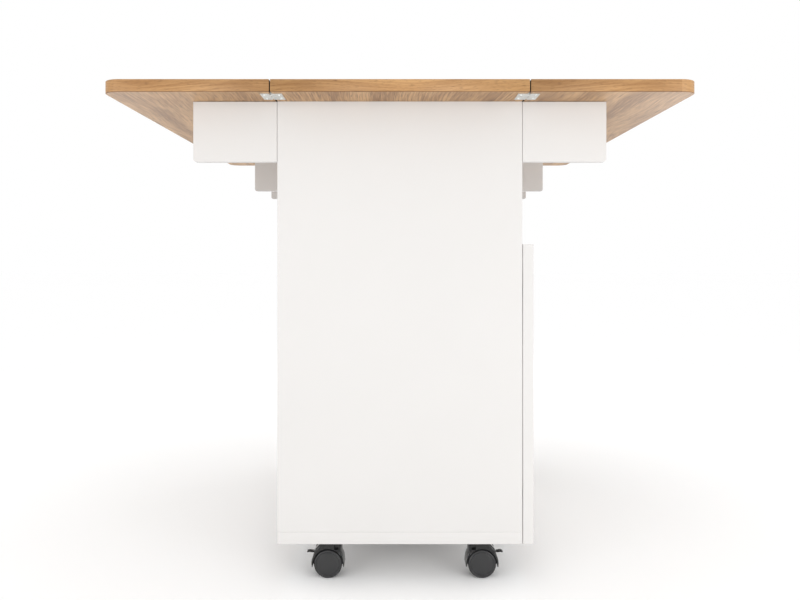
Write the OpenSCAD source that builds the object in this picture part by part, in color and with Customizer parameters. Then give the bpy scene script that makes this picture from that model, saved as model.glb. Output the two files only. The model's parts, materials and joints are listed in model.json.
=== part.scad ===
// Drop-leaf kitchen island on casters, modelled piece by piece, in millimetres.
// +Z is up, the floor is z = 0, +X runs along the cabinet and the doors face -Y.
// "near" is the -X end and "far" the +X end; "front" is the -Y side and "back" the +Y side.

/* [Worktop] */
// Height of the worktop over the floor
height = 900; // [860:1:940]
// Length of the worktop
top_len = 1122; // [1060:1:1200]
// Overhang of the worktop past each end of the cabinet
overhang = 86; // [80:1:110]
// Thickness of the worktop and its leaves
top_t = 22; // [18:1:28]
// Width of each drop leaf
leaf_w = 289; // [240:1:300]
// Gap between the worktop and a leaf
seam = 2; // [1.8:0.1:2.6]
// Plan radius of the leaves' outer corners
corner_r = 30; // [10:1:60]

/* [Cabinet] */
// Outer depth of the cabinet
cab_d = 446; // [420:1:480]
// Thickness of panels, decks, shelves and brackets
board_t = 18; // [15:1:20]
// Thickness of the base board
base_t = 22; // [18:0.5:28]
// Thickness of the back panel
back_t = 15; // [9:1:18]
// Step from the cabinet's back edge to the back panel
back_inset = 2; // [1:0.5:6]
// Clear width of the narrow bay
narrow_bay = 263; // [240:1:300]
// Depth of the niches that the brackets fold into
niche_d = 56; // [50:1:70]
// Height of the drawer row
drawer_row_h = 130; // [110:1:150]
// Side clearance of a shelf
shelf_gap = 1; // [0.5:0.1:2]
// Distance of a shelf from the cabinet's front edge
shelf_setback = 22; // [20:1:40]
// Height of the wide bay's shelf over the base board
shelf_near_z = 226; // [150:1:320]
// Height of the narrow bay's shelf over the base board
shelf_far_z = 246; // [150:1:320]

/* [Brackets] */
// Reach of a bracket from the cabinet's side
bracket_w = 153; // [130:1:165]
// Height of a bracket
bracket_h = 109.5; // [95:0.5:125]
// Radius of a bracket's lower outer corner
bracket_r = 5; // [2:1:12]
// Gap between a bracket and the underside of the worktop
bracket_gap = 0.5; // [0.3:0.1:1]
// Gap between a bracket and the deck under it
deck_gap = 2; // [1:0.5:4]
// Seam between a bracket and its panel
bracket_seam = 0.6; // [0.5:0.1:2]

/* [Doors] */
// Thickness of a door
door_t = 20; // [18:0.5:21]
// Air between a door and the cabinet
door_gap = 0.7; // [0.6:0.1:2.4]
// Step from a door's edge to the panel's face
door_reveal = 0.5; // [0.2:0.1:1]
// Gap between the two doors
pair_gap = 3; // [2:0.5:4]
// Distance of a door's hinges from its ends
hinge_inset = 90; // [70:1:120]
// Radius of the edge of a door's back that swings past the cabinet
door_back_r = 2; // [1.8:0.1:3]

/* [Door hinges] */
// Height of a hinge cup
cup_h = 25; // [20:1:30]
// Width of a hinge cup
cup_w = 23; // [20:1:26]
// Distance of the pivot from the cup's outer side
cup_side = 4; // [3.6:0.1:4.6]
// Depth of a cup in front of its pivot
cup_depth = 4.5; // [4:0.1:5.5]
// Distance of a pivot from the door's outer edge
pivot_edge = 5; // [4.5:0.1:5.5]
// Distance of a pivot from the door's back
pivot_depth = 11; // [10.5:0.1:11.5]

/* [Drawers] */
// Gap around a drawer front
front_gap = 2.5; // [1.5:0.5:4]
// Room between a drawer box and the back panel
box_clear = 31; // [20:1:60]
// Height of a drawer box
box_h = 84; // [60:1:90]
// Thickness of a drawer box's walls
box_t = 12; // [9:1:15]
// Thickness of a drawer's bottom
box_floor_t = 6; // [4:1:9]
// Room for a runner beside a drawer box
runner_gap = 13; // [12.5:0.5:16]
// Step from a drawer front's back to its runners
runner_setback = 12; // [8:1:20]
// Length of a drawer box behind the end of its runners
runner_short = 18; // [10:1:40]
// Distance of a runner's screws from its ends
runner_screw_inset = 40; // [30:1:60]
// Height of a runner's fixed channel
runner_h = 35; // [30:1:45]
// Sheet thickness of the runners
runner_t = 1.2; // [1:0.1:2]

/* [Handles] */
// Diameter of a handle's bar
bar_d = 10; // [8:1:14]
// Diameter of a handle's posts
post_d = 8; // [6:1:9]
// Clear room behind a handle's bar
grip_room = 24; // [20:1:32]
// Length of a door handle and of the wide drawer's
handle_len = 160; // [120:1:220]
// Length of the narrow drawer's handle
handle_short = 128; // [96:1:160]
// Distance of a door handle's middle from the door's top
handle_drop = 130; // [100:1:200]

/* [Leaf hinges] */
// Length of a leaf hinge
leaf_hinge_len = 50; // [40:1:60]
// Width of one wing, from the hinge's axis
leaf_wing_w = 19; // [16:1:24]
// Thickness of a wing
leaf_wing_t = 1.3; // [1:0.1:1.6]
// Radius of the knuckles
leaf_knuckle_r = 2.5; // [2.2:0.1:2.8]
// Radius of the pin
leaf_pin_r = 1.2; // [1:0.1:1.4]
// Distance of an end hinge from the worktop's end
leaf_hinge_end = 15; // [12:1:25]

/* [Bracket hinges] */
// Height of a bracket hinge
wing_h = 76; // [60:1:90]
// Thickness of a wing
wing_t = 1.5; // [1.2:0.1:2]
// Radius of the knuckles
knuckle_r = 3.2; // [3:0.1:3.8]
// Radius of the pin
pin_r = 1.6; // [1.3:0.1:1.8]
// Reach of a wing over the board that it is screwed to
wing_reach = 30; // [26:1:32]

/* [Casters] */
// Height of a caster with its plate
caster_h = 72; // [68:0.5:80]
// Radius of a wheel
wheel_r = 26; // [24:0.5:27]
// Width of one wheel
wheel_w = 17; // [14:0.5:19]
// Thickness of the web between the wheels
web_t = 10; // [9:0.5:12]
// Distance from the swivel axis to the wheel axis
trail = 17.6; // [16:0.2:19]
// Air between a wheel's tread and the hood
tread_gap = 1.6; // [1.4:0.1:2]
// Thickness of the hood's shell
hood_t = 3.4; // [2.8:0.1:4.5]
// Reach of the hood's neck behind the wheel axis
hood_neck = 25.6; // [25:0.1:27]
// Largest reach of the hood behind the wheel axis
hood_back = 29.8; // [29.4:0.1:31]
// Radius of the wheel axle
axle_r = 4; // [3:0.2:5]
// Radius of the swivel stem
stem_r = 5; // [4:0.2:6]
// Side of the square mounting plate
plate_w = 42; // [40:1:50]
// Distance of a swivel axis from the cabinet's end
caster_inset = 47.5; // [44:0.5:60]
// Mean distance of the swivel axes from the cabinet's sides
caster_side = 97.8; // [85:0.1:115]
// Shift of the casters from the cabinet's middle towards the doors
caster_shift = 9.8; // [0:0.1:15]

/* [Fasteners] */
// Radius of a small screw's shank
screw_r = 1.5; // [1.2:0.1:1.7]
// Length of a small screw under its head
screw_len = 13; // [10:1:14]
// Radius of a small screw's head
screw_head_r = 2.8; // [2.4:0.1:3.2]
// Height of a small screw's head
screw_head_h = 1.2; // [0.8:0.1:1.6]
// Radius of an assembly screw's shank
bolt_r = 3; // [2.5:0.1:3.5]
// Length of an assembly screw
bolt_len = 50; // [40:1:60]
// Radius of an assembly screw's head
bolt_head_r = 5; // [4:0.1:6]
// Radius of a shelf pin
shelf_pin_r = 2.5; // [2:0.1:3]
// Depth of a shelf pin in its board
shelf_pin_in = 8; // [6:0.5:8]
// Distance of a shelf pin from the shelf's front and back edges
shelf_pin_inset = 40; // [30:1:60]
// Distance of the outer assembly screws from the cabinet's sides
assembly_inset = 63; // [50:1:80]

/* [Hidden] */
$fn = 48;

oak = "#C89B68";
white = "#F1EFEB";
drawer_white = "#E9E6E0";
steel = "#B9BCBE";
black = "#1E1E1F";
wheel_grey = "#3A3A3C";

// Small clearances
fit = 0.05;
press = 0.02;
air = 0.3;
eps = 0.01;

// Levels
under = height - top_t;
floor_z = caster_h + base_t;
deck_top = under - bracket_gap - bracket_h - deck_gap;
deck_z = deck_top - board_t;
divider_top = deck_z - drawer_row_h;
door_h = divider_top - caster_h;
side_y = cab_d / 2;
cab_len = top_len - 2 * overhang;
end_x = cab_len / 2;

// The two bays, each from its near face to its far face
narrow_x1 = end_x - board_t;
narrow_x0 = narrow_x1 - narrow_bay;
wide_x0 = board_t - end_x;
wide_x1 = narrow_x0 - board_t;
bays = [[wide_x0, wide_x1], [narrow_x0, narrow_x1]];
back_y = side_y - back_inset - back_t;
box_len = back_y - box_clear - board_t + side_y;

// Leaf hinges: the axis lies in the seam, just over the underside
leaf_y = side_y + seam / 2;
leaf_z = under + leaf_knuckle_r - leaf_wing_t;
leaf_groove_r = leaf_knuckle_r + 0.5;
leaf_hinge_x = [leaf_hinge_end - top_len / 2, (wide_x0 + wide_x1 - leaf_hinge_len) / 2, narrow_x0 + 20,
    top_len / 2 - leaf_hinge_end - leaf_hinge_len];
leaf_screw_y = leaf_wing_w - 6;

// Bracket hinges: the axis lies inside the cabinet, so that a folded bracket is flush with its side
fold_in = board_t + knuckle_r + 0.8;
bracket_z = under - bracket_gap - bracket_h;
wing_z = bracket_z + (bracket_h - wing_h) / 2;
wing_out = fold_in + bracket_seam + wing_reach;
wing_screws_z = [wing_z + 14, wing_z + wing_h - 14];
// Face that a bracket is hinged to, and the direction from there into the bay
hinge_faces = [[wide_x0, 1], [wide_x1, -1], [narrow_x1, -1]];

// Doors on the wide bay
door_x0 = door_reveal - end_x;
door_x1 = narrow_x0 - door_reveal;
door_w = (door_x1 - door_x0 - pair_gap) / 2;
door_back = side_y + door_gap;
pivot_y = door_back + pivot_depth;
hinge_z = [caster_h + hinge_inset, caster_h + door_h - hinge_inset];
// Hinge face of each door's panel, and the direction from there to the free edge
door_sides = [[wide_x0, 1, door_x0 + pivot_edge], [wide_x1, -1, door_x1 - pivot_edge]];
arm_h = 12;
arm_t = 2.4;
arm_plate = 2;
arm_eye_r = 2.8;
arm_len = 58;
door_pin_r = 1.2;
door_handle_z = caster_h + door_h - handle_drop;
door_handle_edge = 36;
handle_screw_in = 13;
post_inset = 16;

// Drawers
front_h = drawer_row_h - 2 * front_gap;
front_z = divider_top + front_gap;
box_z = front_z + 8;
runner_z = box_z + box_h / 2;
runner_y0 = board_t + runner_setback - side_y;
runner_len = box_len - runner_setback - runner_short;
lip = 6;
runner_screw_len = 8;

// Casters, in a frame whose origin is under the swivel axis and whose +Y is the trail
caster_x = end_x - caster_inset;
caster_track = cab_d - 2 * caster_side;
plate_t = 2;
race_h = 4;
race_r = 8.5;
hood_top = caster_h - plate_t - race_h;
hood_r = wheel_r + tread_gap + hood_t;
hood_w = web_t + 2 * wheel_w;
skirt_drop = 5.4;
hood_low = wheel_r - skirt_drop;
wheel_gap = 0.5;
stem_low = hood_top - 13.5;
recess_low = 2 * wheel_r + 0.6;
plate_screw = plate_w / 2 - 6;
lever_out = 15.5;
lever_up = 28.5;
lever_pivot = [lever_out, wheel_r + lever_up];
lever_slot_reach = 30;
lever_pin_r = 1.5;
lever_pin_len = 24;
lever_w = 11;
lever_half_t = 1.5;
caster_places = [for (sx = [-1, 1]) for (sy = [-1, 1]) [sx * caster_x, sy * caster_track / 2 - caster_shift, sy]];

// Plain shapes
module block(x0, y0, z0, x1, y1, z1) {
    translate([x0, y0, z0]) cube([x1 - x0, y1 - y0, z1 - z0]);
}
module rod_x(x0, x1, y, z, r) {
    translate([x0, y, z]) rotate([0, 90, 0]) cylinder(r = r, h = x1 - x0);
}
module rod_y(x, y0, y1, z, r) {
    translate([x, y0, z]) rotate([-90, 0, 0]) cylinder(r = r, h = y1 - y0);
}
module rod_z(x, y, z0, z1, r) {
    translate([x, y, z0]) cylinder(r = r, h = z1 - z0);
}
// A pan-head screw along +Z whose head sits under z = 0
module screw(length = screw_len) {
    translate([0, 0, -press - eps]) cylinder(r = screw_r, h = length);
    translate([0, 0, -screw_head_h - press]) cylinder(r = screw_head_r, h = screw_head_h);
}
// The hole that such a screw stands in
module pilot(length = screw_len) {
    translate([0, 0, -length]) cylinder(r = screw_r + fit, h = 2 * length + air);
}
// Copies a shape made for the front side to the back side when side is 1
module on_side(side) {
    if (side < 0) children();
    else mirror([0, 1, 0]) children();
}

// Leaf hinge places and their screws, on the front side
module at_leaf_hinges() {
    for (x = leaf_hinge_x) translate([x, -leaf_y, 0]) children();
}
module at_leaf_screws(out) {
    at_leaf_hinges() for (s = [0.2, 0.8])
        translate([s * leaf_hinge_len, -out * leaf_screw_y, under - leaf_wing_t]) children();
}
module leaf_grooves() {
    at_leaf_hinges() rod_x(-0.5, leaf_hinge_len + 0.5, 0, leaf_z, leaf_groove_r);
}

module top_panel() {
    color(oak) difference() {
        block(-top_len / 2, -side_y, under, top_len / 2, side_y, height);
        for (side = [-1, 1]) on_side(side) {
            leaf_grooves();
            at_leaf_screws(-1) pilot();
        }
    }
}

module leaf_outline() {
    inner = side_y + seam;
    outer = inner + leaf_w;
    translate([-top_len / 2, -outer + corner_r]) square([top_len, leaf_w - corner_r]);
    translate([-top_len / 2 + corner_r, -outer]) square([top_len - 2 * corner_r, leaf_w]);
    for (s = [-1, 1]) translate([s * (top_len / 2 - corner_r), -outer + corner_r]) circle(r = corner_r, $fn = 96);
}
module leaf(side) {
    color(oak) on_side(side) difference() {
        translate([0, 0, under]) linear_extrude(top_t) leaf_outline();
        leaf_grooves();
        at_leaf_screws(1) pilot();
    }
}

// One wing with its knuckles: out is -1 for the worktop's wing and 1 for the leaf's
module leaf_wing(out, mine) {
    step = leaf_hinge_len / 5;
    near = leaf_knuckle_r + 0.4;
    difference() {
        union() {
            translate([0, out > 0 ? -leaf_wing_w : near, under - leaf_wing_t])
                cube([leaf_hinge_len, leaf_wing_w - near, leaf_wing_t]);
            for (i = mine) translate([i * step + 0.1, 0, 0]) {
                rod_x(0, step - 0.2, 0, leaf_z, leaf_knuckle_r);
                translate([0, out > 0 ? -near - eps : 0, under - leaf_wing_t])
                    cube([step - 0.2, near + eps, leaf_wing_t]);
            }
        }
        rod_x(-1, leaf_hinge_len + 1, 0, leaf_z, leaf_pin_r + (out > 0 ? fit : press));
        for (s = [0.2, 0.8]) translate([s * leaf_hinge_len, -out * leaf_screw_y, 0])
            rod_z(0, 0, under - 5, under + 1, screw_r + fit);
    }
}
module leaf_hinge_bases() {
    color(steel) for (side = [-1, 1]) on_side(side) {
        at_leaf_hinges() {
            leaf_wing(-1, [0, 2, 4]);
            rod_x(0, leaf_hinge_len, 0, leaf_z, leaf_pin_r);
        }
        at_leaf_screws(-1) screw();
    }
}
module leaf_wings(side) {
    color(steel) on_side(side) {
        at_leaf_hinges() leaf_wing(1, [1, 3]);
        at_leaf_screws(1) screw();
    }
}

// Bracket hinge frame: x = 0 on the axis and +X into the bay, y = 0 on the axis and -Y outwards
module at_bracket_hinge(side, face) {
    on_side(side) translate([face[0] + face[1] * knuckle_r, fold_in - side_y, 0])
        mirror([face[1] < 0 ? 1 : 0, 0, 0]) children();
}
module wing_knuckles(mine, reach_sign) {
    step = wing_h / 5;
    for (i = mine) {
        rod_z(0, 0, wing_z + i * step + 0.1, wing_z + (i + 1) * step - 0.1, knuckle_r);
        translate([-knuckle_r, reach_sign > 0 ? -knuckle_r - 0.4 - eps : 0, wing_z + i * step + 0.1])
            cube([wing_t, knuckle_r + 0.4 + eps, step - 0.2]);
    }
}
// Screws of a wing, y from the axis, pointing from the wing into its board
module at_wing_screws(y_list) {
    for (y = y_list) for (z = wing_screws_z)
        translate([wing_t - knuckle_r, -y, z]) rotate([0, -90, 0]) children();
}
bracket_screw_y = [wing_out - 20, wing_out - 8];
fixed_screw_y = [-12, -24];
module bracket(side, face) {
    at_bracket_hinge(side, face) color(white) difference() {
        translate([-knuckle_r - board_t, 0, 0]) rotate([90, 0, 90]) linear_extrude(board_t) bracket_outline();
        at_wing_screws(bracket_screw_y) pilot();
    }
}
module bracket_outline() {
    root = -fold_in - bracket_seam;
    tip = root - bracket_w + bracket_seam;
    top = bracket_z + bracket_h;
    translate([tip, bracket_z + bracket_r]) square([root - tip, bracket_h - bracket_r]);
    translate([tip + bracket_r, bracket_z]) square([root - tip - bracket_r, top - bracket_z]);
    translate([tip + bracket_r, bracket_z + bracket_r]) circle(r = bracket_r);
}
module bracket_wing(side, face) {
    at_bracket_hinge(side, face) color(steel) {
        difference() {
            union() {
                block(-knuckle_r, -wing_out, wing_z, wing_t - knuckle_r, -knuckle_r - 0.4, wing_z + wing_h);
                wing_knuckles([1, 3], 1);
            }
            rod_z(0, 0, wing_z - 1, wing_z + wing_h + 1, pin_r + fit);
            at_wing_screws(bracket_screw_y) pilot();
        }
        at_wing_screws(bracket_screw_y) screw();
    }
}
module bracket_hinge_bases() {
    color(steel) for (side = [-1, 1]) for (face = hinge_faces) at_bracket_hinge(side, face) {
        difference() {
            union() {
                block(-knuckle_r, knuckle_r + 0.4, wing_z, wing_t - knuckle_r, wing_reach, wing_z + wing_h);
                wing_knuckles([0, 2, 4], -1);
            }
            rod_z(0, 0, wing_z - 1, wing_z + wing_h + 1, pin_r + press);
            at_wing_screws(fixed_screw_y) pilot();
        }
        rod_z(0, 0, wing_z, wing_z + wing_h, pin_r);
        at_wing_screws(fixed_screw_y) screw();
    }
}
module fixed_wing_pilots() {
    for (side = [-1, 1]) for (face = hinge_faces) at_bracket_hinge(side, face)
        at_wing_screws(fixed_screw_y) pilot();
}

// Carcass
assembly_x = [board_t / 2 - end_x, wide_x1 + board_t / 2, end_x - board_t / 2];
assembly_y = [assembly_inset - side_y, 0, side_y - assembly_inset];
module at_assembly_screws() {
    for (x = assembly_x) for (y = assembly_y) translate([x, y, caster_h]) children();
}
module assembly_holes() {
    at_assembly_screws() {
        translate([0, 0, -1]) cylinder(r = bolt_head_r + fit, h = 4 + fit);
        cylinder(r = bolt_r + fit, h = bolt_len + air);
    }
}
module assembly_screws() {
    color(steel) at_assembly_screws() {
        cylinder(r = bolt_head_r, h = 3);
        cylinder(r = bolt_r, h = bolt_len);
    }
}
module base_board() {
    color(white) difference() {
        block(-end_x, -side_y, caster_h, end_x, side_y, floor_z);
        assembly_holes();
        at_plate_screws() pilot();
    }
}
module side_holes() {
    fixed_wing_pilots();
    assembly_holes();
    shelf_pin_shapes(fit);
    at_arm_screws() pilot();
    at_runner_screws() pilot(length = runner_screw_len);
}
module end_panel(s) {
    color(white) difference() {
        block(min(s * end_x, s * (end_x - board_t)), -side_y, floor_z,
            max(s * end_x, s * (end_x - board_t)), side_y, under);
        side_holes();
    }
}
module partition() {
    color(white) difference() {
        block(wide_x1, -side_y, floor_z, narrow_x0, side_y, under);
        block(wide_x1 - 1, back_y, floor_z - 1, narrow_x0 + 1, side_y + 1, deck_z);
        side_holes();
    }
}
module bay_boards(y0, z0, y1, z1) {
    for (bay = bays) block(bay[0], y0, z0, bay[1], y1, z1);
}
module upper_decks() {
    color(white) bay_boards(-side_y, deck_z, side_y, deck_top);
}
module dividers() {
    color(white) bay_boards(-side_y, divider_top - board_t, back_y, divider_top);
}
module front_rails() {
    color(white) bay_boards(niche_d - side_y, deck_top, niche_d + board_t - side_y, under);
}
module back_rails() {
    color(white) bay_boards(side_y - niche_d - board_t, deck_top, side_y - niche_d, under);
}
module back_panel() {
    color(white) block(wide_x0, back_y, floor_z, narrow_x1, back_y + back_t, deck_z);
}
shelf_levels = [floor_z + shelf_near_z, floor_z + shelf_far_z];
module shelf(i) {
    color(white) block(bays[i][0] + shelf_gap, shelf_setback - side_y, shelf_levels[i],
        bays[i][1] - shelf_gap, back_y - shelf_gap, shelf_levels[i] + board_t);
}
shelf_pin_y = [shelf_setback + shelf_pin_inset - side_y, back_y - shelf_gap - shelf_pin_inset];
module shelf_pin_shapes(clear) {
    for (i = [0, 1]) for (y = shelf_pin_y) for (s = [0, 1]) {
        face = bays[i][s];
        dir = 1 - 2 * s;
        rod_x(min(face - dir * (shelf_pin_in + clear), face + dir * 9),
            max(face - dir * (shelf_pin_in + clear), face + dir * 9),
            y, shelf_levels[i] - shelf_pin_r, shelf_pin_r + clear);
    }
}
module shelf_pins() {
    color(steel) shelf_pin_shapes(0);
}

// Doors. Hinge frame: x = 0 and y = 0 on the pivot, +X to the free edge, -Y outwards
module at_door_hinges(i) {
    translate([door_sides[i][2], -pivot_y, 0]) mirror([door_sides[i][1] < 0 ? 1 : 0, 0, 0])
        for (z = hinge_z) translate([0, 0, z]) children();
}
cup_wall = 0.8;
cup_floor = 1.1;
cup_end = 3;
cup_recess = 0.3;
panel_face = board_t - door_reveal - pivot_edge;
module cup_block(clear, back) {
    block(-cup_side - clear, -cup_depth - clear, -cup_h / 2 - clear,
        cup_w - cup_side + clear, back, cup_h / 2 + clear);
}
module cup() {
    difference() {
        cup_block(0, pivot_depth - cup_recess);
        block(cup_wall - cup_side, cup_floor - cup_depth, -arm_h / 2 - cup_wall,
            cup_w - cup_side - cup_end, pivot_depth + 1, arm_h / 2 + cup_wall);
        rod_z(0, 0, -cup_h / 2 + 1.5, cup_h / 2 - 1.5, door_pin_r + fit);
    }
}
module hinge_cups(i) {
    color(steel) at_door_hinges(i) cup();
}
// Plan of a door: x = 0 on its hinged edge and y = 0 on its back
module door_outline() {
    translate([0, -door_t]) square([door_w, door_t - door_back_r]);
    translate([door_back_r, -door_t]) square([door_w - door_back_r, door_t]);
    translate([door_back_r, -door_back_r]) circle(r = door_back_r);
}
module door(i) {
    color(white) difference() {
        translate([i == 0 ? door_x0 : door_x1, -door_back, caster_h]) mirror([i, 0, 0])
            linear_extrude(door_h) door_outline();
        at_door_hinges(i) cup_block(press, pivot_depth + 1);
        at_door_handle(i) at_handle_screws(handle_len, door_t) pilot(length = door_t);
    }
}
// Screws that fix an arm's plate to the panel
module at_arm_screws() {
    for (i = [0, 1]) at_door_hinges(i) for (z = [-9, 9])
        translate([panel_face + arm_plate, arm_len - 10, z]) rotate([0, -90, 0]) children();
}
module hinge_arms() {
    color(steel) {
        for (i = [0, 1]) at_door_hinges(i) {
            difference() {
                union() {
                    rod_z(0, 0, -arm_h / 2, arm_h / 2, arm_eye_r);
                    block(0, -arm_t / 2, -arm_h / 2, panel_face + arm_plate, arm_t / 2, arm_h / 2);
                    block(panel_face, 0, -arm_h / 2, panel_face + arm_plate, arm_len, arm_h / 2);
                    block(panel_face, arm_len - 22, -15, panel_face + arm_plate, arm_len, 15);
                }
                rod_z(0, 0, -arm_h, arm_h, door_pin_r + press);
                for (z = [-9, 9]) rod_x(panel_face - 1, panel_face + arm_plate + 1, arm_len - 10, z, screw_r + fit);
            }
            rod_z(0, 0, -cup_h / 2 + 1.8, cup_h / 2 - 1.8, door_pin_r);
        }
        at_arm_screws() screw();
    }
}

// Bar handle along +X, centred, standing on y = 0 and reaching to -Y
module at_handle_screws(length, wall) {
    for (s = [-1, 1]) translate([s * (length / 2 - post_inset), wall, 0]) rotate([90, 0, 0]) children();
}
module handle(length, wall) {
    color(steel) {
        difference() {
            union() {
                rod_x(-length / 2, length / 2, -grip_room - bar_d / 2, 0, bar_d / 2);
                for (s = [-1, 1])
                    rod_y(s * (length / 2 - post_inset), -grip_room - bar_d / 2, 0, 0, post_d / 2);
            }
            at_handle_screws(length, wall) pilot(length = wall + handle_screw_in);
        }
        at_handle_screws(length, wall) screw(length = wall + handle_screw_in);
    }
}
module at_door_handle(i) {
    edge = i == 0 ? door_x0 + door_w - door_handle_edge : door_x1 - door_w + door_handle_edge;
    translate([edge, -door_back - door_t, door_handle_z]) rotate([0, 90, 0]) children();
}
module door_handle(i) {
    at_door_handle(i) handle(handle_len, door_t);
}

// Drawers: i is 0 for the wide one and 1 for the narrow one
drawer_handles = [handle_len, handle_short];
module at_drawer_handle(i) {
    translate([(bays[i][0] + bays[i][1]) / 2, -side_y, front_z + front_h / 2]) children();
}
module drawer_front(i) {
    bay = bays[i];
    color(white) difference() {
        block(bay[0] + front_gap, -side_y, front_z, bay[1] - front_gap, board_t - side_y, front_z + front_h);
        at_drawer_handle(i) at_handle_screws(drawer_handles[i], board_t) pilot(length = board_t);
    }
}
module drawer_handle(i) {
    at_drawer_handle(i) handle(drawer_handles[i], board_t);
}
module drawer_box(i) {
    x0 = bays[i][0] + runner_gap;
    x1 = bays[i][1] - runner_gap;
    y0 = board_t - side_y;
    color(drawer_white) difference() {
        block(x0, y0, box_z, x1, y0 + box_len, box_z + box_h);
        block(x0 + box_t, y0 - 1, box_z + box_floor_t, x1 - box_t, y0 + box_len - box_t, box_z + box_h + 1);
    }
}
// Runner frame: x = 0 on the bay's wall and +X to the drawer, z = 0 on the runner's middle
module at_runners(i) {
    translate([bays[i][0], 0, runner_z]) children();
    translate([bays[i][1], 0, runner_z]) mirror([1, 0, 0]) children();
}
module runner_channels() {
    color(steel) {
        for (i = [0, 1]) at_runners(i) difference() {
            block(0, runner_y0, -runner_h / 2, lip, runner_y0 + runner_len, runner_h / 2);
            block(runner_t, runner_y0 - 1, runner_t - runner_h / 2, lip + 1, runner_y0 + runner_len + 1, runner_h / 2 - runner_t);
            for (y = runner_screw_y) rod_x(-1, runner_t + 1, y, 0, screw_r + fit);
        }
        at_runner_screws() screw(length = runner_screw_len);
    }
}
runner_screw_y = [runner_y0 + runner_screw_inset, runner_y0 + runner_len - runner_screw_inset];
module at_runner_screws() {
    for (i = [0, 1]) at_runners(i) for (y = runner_screw_y)
        translate([runner_t, y, 0]) rotate([0, -90, 0]) children();
}
module drawer_slides(i) {
    slide_h = runner_h - 2 * runner_t - 2 * air;
    color(steel) at_runners(i) difference() {
        block(lip - 3.5, runner_y0, -slide_h / 2, runner_gap, runner_y0 + runner_len, slide_h / 2);
        block(0, runner_y0 - 1, runner_t - slide_h / 2, runner_gap - runner_t, runner_y0 + runner_len + 1, slide_h / 2 - runner_t);
    }
}

// Casters
module at_caster(k) {
    place = caster_places[k];
    translate([place[0], place[1], 0]) mirror([0, place[2] < 0 ? 1 : 0, 0]) children();
}
module at_plate_screws() {
    for (k = [0:3]) at_caster(k) for (sx = [-1, 1]) for (sy = [-1, 1])
        translate([sx * plate_screw, sy * plate_screw, caster_h - plate_t]) children();
}
module caster_plates() {
    color(steel) {
        for (k = [0:3]) at_caster(k) {
            difference() {
                block(-plate_w / 2, -plate_w / 2, caster_h - plate_t, plate_w / 2, plate_w / 2, caster_h);
                for (sx = [-1, 1]) for (sy = [-1, 1])
                    rod_z(sx * plate_screw, sy * plate_screw, hood_top, caster_h + 1, screw_r + fit);
            }
            rod_z(0, 0, hood_top + air, caster_h - plate_t + eps, race_r);
            rod_z(0, 0, stem_low + air, caster_h - plate_t, stem_r);
        }
        at_plate_screws() screw();
    }
}
// Outline of the hood seen along the wheel axle, y from the wheel axis, z from the floor
module hood_outline() {
    difference() {
        union() {
            intersection() {
                translate([0, wheel_r]) circle(r = hood_r, $fn = 96);
                square([2 * hood_r, 4 * hood_r]);
            }
            polygon([[-hood_neck, hood_top], [12.3, hood_top], [24.5, hood_top - 14], [24.5, wheel_r],
                [0, hood_low - 1], [-hood_back, hood_low - 1], [0.6 - hood_back, wheel_r + 1],
                [1.3 - hood_back, wheel_r + 6], [2.2 - hood_back, wheel_r + 11.7],
                [-hood_neck - 0.8, wheel_r + 16.5], [-hood_neck - 0.1, wheel_r + 20.5], [-hood_neck, wheel_r + 25]]);
        }
        translate([-2 * hood_r, hood_low - 3 * hood_r]) square([4 * hood_r, 3 * hood_r]);
    }
}
// Outline of the room for a wheel, from the wheel axis: a circle that flares at the ends of the skirt
module well_outline() {
    circle(r = wheel_r + tread_gap, $fn = 96);
    reach = wheel_r + tread_gap;
    polygon([[reach - 0.8, 3], [reach + 1, -6], [-reach - 1, -6], [0.8 - reach, 3]]);
}
module lever_slot() {
    difference() {
        translate([11.6, wheel_r + 12]) square([lever_slot_reach, hood_top - wheel_r - 12 + 1]);
        translate([0, wheel_r]) circle(r = wheel_r + 1.4, $fn = 96);
    }
}
// Carries a shape drawn in (y from the wheel axis, z) across the caster's width w
module across(w) {
    translate([-w / 2, trail, 0]) rotate([90, 0, 90]) linear_extrude(w) children();
}
module hood(k, braked) {
    at_caster(k) color(black) difference() {
        union() {
            across(hood_w) hood_outline();
            translate([0, trail, wheel_r]) rod_x(-web_t / 2, web_t / 2, 0, 0, axle_r + 4);
        }
        for (s = [-1, 1]) translate([s * (web_t / 2 + hood_w / 2), 0, wheel_r])
            across(hood_w) well_outline();
        for (s = [-1, 1]) translate([s * (hood_w / 2), trail, 0])
            block(-7, -19.7, recess_low, 7, -11.8, hood_top - 2.5);
        rod_x(-hood_w, hood_w, trail, wheel_r, axle_r + fit);
        rod_z(0, 0, stem_low, hood_top + 1, stem_r + fit);
        if (braked) {
            across(lever_w + 2 * air) lever_slot();
            rod_x(-lever_pin_len / 2 - air, lever_pin_len / 2 + air, trail + lever_pivot[0], lever_pivot[1],
                lever_pin_r + fit);
        }
    }
}
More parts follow.
